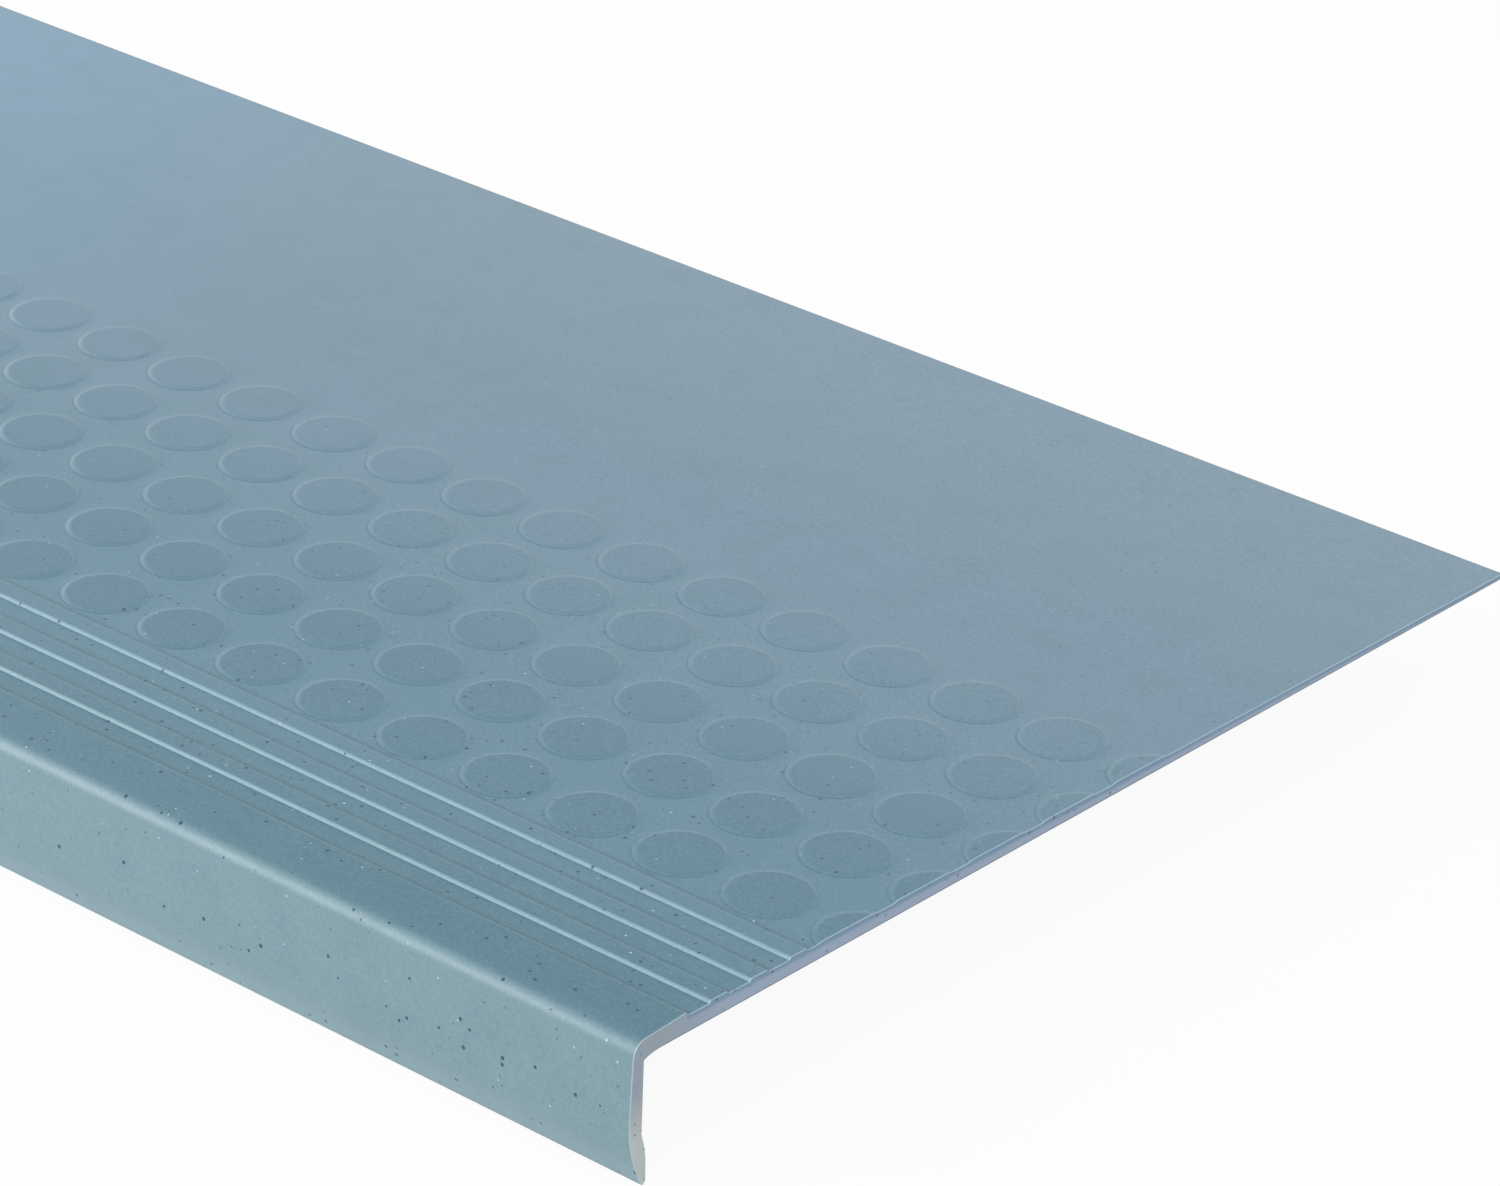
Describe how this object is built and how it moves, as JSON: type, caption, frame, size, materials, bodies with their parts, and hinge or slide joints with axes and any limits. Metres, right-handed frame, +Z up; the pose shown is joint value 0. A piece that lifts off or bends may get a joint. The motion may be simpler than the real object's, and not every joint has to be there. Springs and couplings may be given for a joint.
{
  "type": "anti-slip stair tread",
  "caption": "One-piece moulded rubber stair tread with a square nosing flap, raised anti-slip ribs, a field of low round studs and a smooth tapered back.",
  "frame": {"origin": "middle of the flat underside that lies on the step: halfway along the length and halfway between nose and back edge", "axes": "+X along the step, +Y from the nose to the riser behind, +Z up out of the walking surface"},
  "size_m": [0.914, 0.318, 0.0364],
  "materials": {
    "rubber": "satin moulded, blue-grey with fine dark and pale specks"
  },
  "bodies": {
    "root": {"stair_tread": "rubber"}
  },
  "joints": []
}
